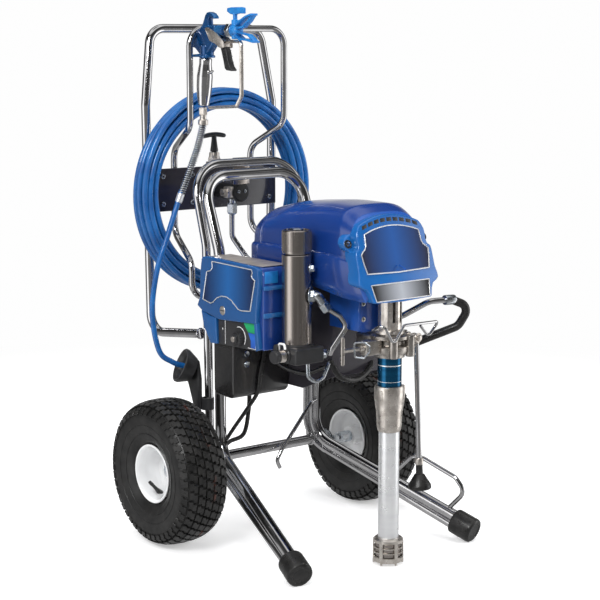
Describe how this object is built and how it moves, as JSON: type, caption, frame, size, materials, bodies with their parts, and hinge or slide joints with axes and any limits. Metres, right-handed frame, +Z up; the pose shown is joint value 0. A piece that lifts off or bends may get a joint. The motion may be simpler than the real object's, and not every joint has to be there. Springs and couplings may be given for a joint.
{
  "type": "airless paint sprayer",
  "caption": "Electric airless paint sprayer on a two-wheeled tube cart, with a wound hose on a turning reel, a spray gun, a covered motor drive and an upright piston pump.",
  "frame": {"origin": "on the floor at the middle of the footprint, 94 mm in front of the wheel centres", "axes": "+Z up, -Y towards the pump end of the cart, +X towards the side with the pump's outlet hose loop"},
  "size_m": [0.583, 0.616, 1.013],
  "materials": {
    "chrome": "polished chrome plating",
    "nickel": "satin nickel plating",
    "steel": "brushed steel",
    "aluminium": "satin aluminium",
    "blue_enamel": "glossy blue enamel",
    "blue_plastic": "glossy moulded blue plastic",
    "light_blue": "satin light blue plastic",
    "hose_blue": "smooth blue hose jacket",
    "white_enamel": "white enamel",
    "filter_mesh": "fine mesh on a plastic core",
    "tyre": "moulded turf tread",
    "black_rubber": "black rubber",
    "black_plastic": "satin black plastic",
    "dark_enamel": "dark blue-black enamel",
    "wound_steel": "laminated steel with copper windings"
  },
  "bodies": {
    "cart": {"front_hoop": "chrome", "rear_hoop": "chrome", "crossbar": "chrome", "cart_handle": "chrome", "foot_cap_left": "black_rubber", "foot_cap_right": "black_rubber", "axle_left": "nickel", "axle_right": "nickel", "leg_bail": "chrome", "brace_rod": "chrome", "hose_guide": "black_plastic", "reel_hub": "steel", "feed_pipe": "chrome", "drive_bracket": "dark_enamel", "motor_case": "steel", "gear_housing": "blue_enamel", "drive_housing": "nickel", "pump_clamp": "nickel", "pump_cylinder": "blue_enamel", "intake_housing": "nickel", "suction_tube": "aluminium", "strainer": "nickel", "drain_tube": "chrome", "pump_hose": "black_rubber", "motor_cover": "blue_plastic", "control_box": "blue_plastic", "terminal_box": "black_plastic", "power_cord": "black_rubber", "manifold": "black_plastic", "filter_bowl": "steel", "filter_cap": "steel", "filter_element": "filter_mesh", "outlet_pipe": "chrome"},
    "left_wheel": {"rim_left": "white_enamel", "tyre_left": "tyre"},
    "right_wheel": {"rim_right": "white_enamel", "tyre_right": "tyre"},
    "hose_reel": {"reel_frame": "chrome", "reel_plate": "dark_enamel", "hose_coil": "hose_blue", "gun_body": "blue_enamel", "gun_handle": "chrome", "trigger_guard": "steel", "tip_guard": "light_blue", "hose_swivel": "nickel", "spring_guard": "steel", "whip_hose": "hose_blue"},
    "reel_lock": {"lock_plunger": "black_plastic"},
    "trigger": {"gun_trigger": "black_plastic"},
    "tip": {"spray_tip": "light_blue"},
    "knob": {"pressure_knob": "black_plastic"},
    "switch": {"power_switch": "black_plastic"},
    "prime": {"prime_valve": "nickel"},
    "latch": {"pump_latch": "chrome"},
    "t_screw": {"clamp_screw": "chrome"},
    "motor_rotor": {"armature": "wound_steel"},
    "crank": {"crank_gear": "steel"},
    "piston": {"piston_rod": "chrome"},
    "intake_ball": {"check_ball": "steel"}
  },
  "joints": [
    {"name": "left_wheel_spin", "type": "hinge", "parent": "cart", "child": "left_wheel", "pos_m": [-0.2415, 0.094, 0.14], "axis": [1, 0, 0], "continuous": true},
    {"name": "right_wheel_spin", "type": "hinge", "parent": "cart", "child": "right_wheel", "pos_m": [0.2415, 0.094, 0.14], "axis": [1, 0, 0], "continuous": true},
    {"name": "reel_turn", "type": "hinge", "parent": "cart", "child": "hose_reel", "pos_m": [0, 0.244, 0.652], "axis": [0, 1, 0], "range_deg": [-75, 120], "deforming": ["whip_hose"]},
    {"name": "reel_lock_lift", "type": "slide", "parent": "hose_reel", "child": "reel_lock", "axis": [0, 0, 1], "range_m": [0, 0.008]},
    {"name": "trigger_pull", "type": "hinge", "parent": "hose_reel", "child": "trigger", "pos_m": [-0.092, 0.139, 0.962], "axis": [1, 0, 0], "range_deg": [0, 15]},
    {"name": "tip_reverse", "type": "hinge", "parent": "hose_reel", "child": "tip", "pos_m": [-0.092, 0.074, 0.97], "axis": [0, 0, 1], "range_deg": [0, 180]},
    {"name": "pressure_turn", "type": "hinge", "parent": "cart", "child": "knob", "pos_m": [-0.1765, -0.049, 0.4095], "axis": [1, 0, 0], "range_deg": [-135, 135]},
    {"name": "switch_rock", "type": "hinge", "parent": "cart", "child": "switch", "pos_m": [-0.166, 0.001, 0.415], "axis": [0, 1, 0], "range_deg": [-3, 3]},
    {"name": "prime_turn", "type": "hinge", "parent": "cart", "child": "prime", "pos_m": [-0.17, -0.161, 0.392], "axis": [1, 0, 0], "range_deg": [0, 90]},
    {"name": "latch_swing", "type": "hinge", "parent": "cart", "child": "latch", "pos_m": [0, -0.266, 0.44], "axis": [1, 0, 0], "range_deg": [-36, 0]},
    {"name": "clamp_turn", "type": "hinge", "parent": "cart", "child": "t_screw", "pos_m": [0, -0.267, 0.41], "axis": [1, 0, 0], "continuous": true},
    {"name": "armature_spin", "type": "hinge", "parent": "cart", "child": "motor_rotor", "pos_m": [0, -0.056, 0.565], "axis": [0, 1, 0], "continuous": true},
    {"name": "crank_turn", "type": "hinge", "parent": "cart", "child": "crank", "pos_m": [0, -0.206, 0.52], "axis": [0, 1, 0], "continuous": true},
    {"name": "piston_stroke", "type": "slide", "parent": "cart", "child": "piston", "axis": [0, 0, 1], "range_m": [0, 0.025]},
    {"name": "check_ball_lift", "type": "slide", "parent": "cart", "child": "intake_ball", "axis": [0, 0, 1], "range_m": [0, 0.004]}
  ],
  "couplings": [
    {"joint": "crank_turn", "follows": "armature_spin", "ratio": -0.25}
  ]
}
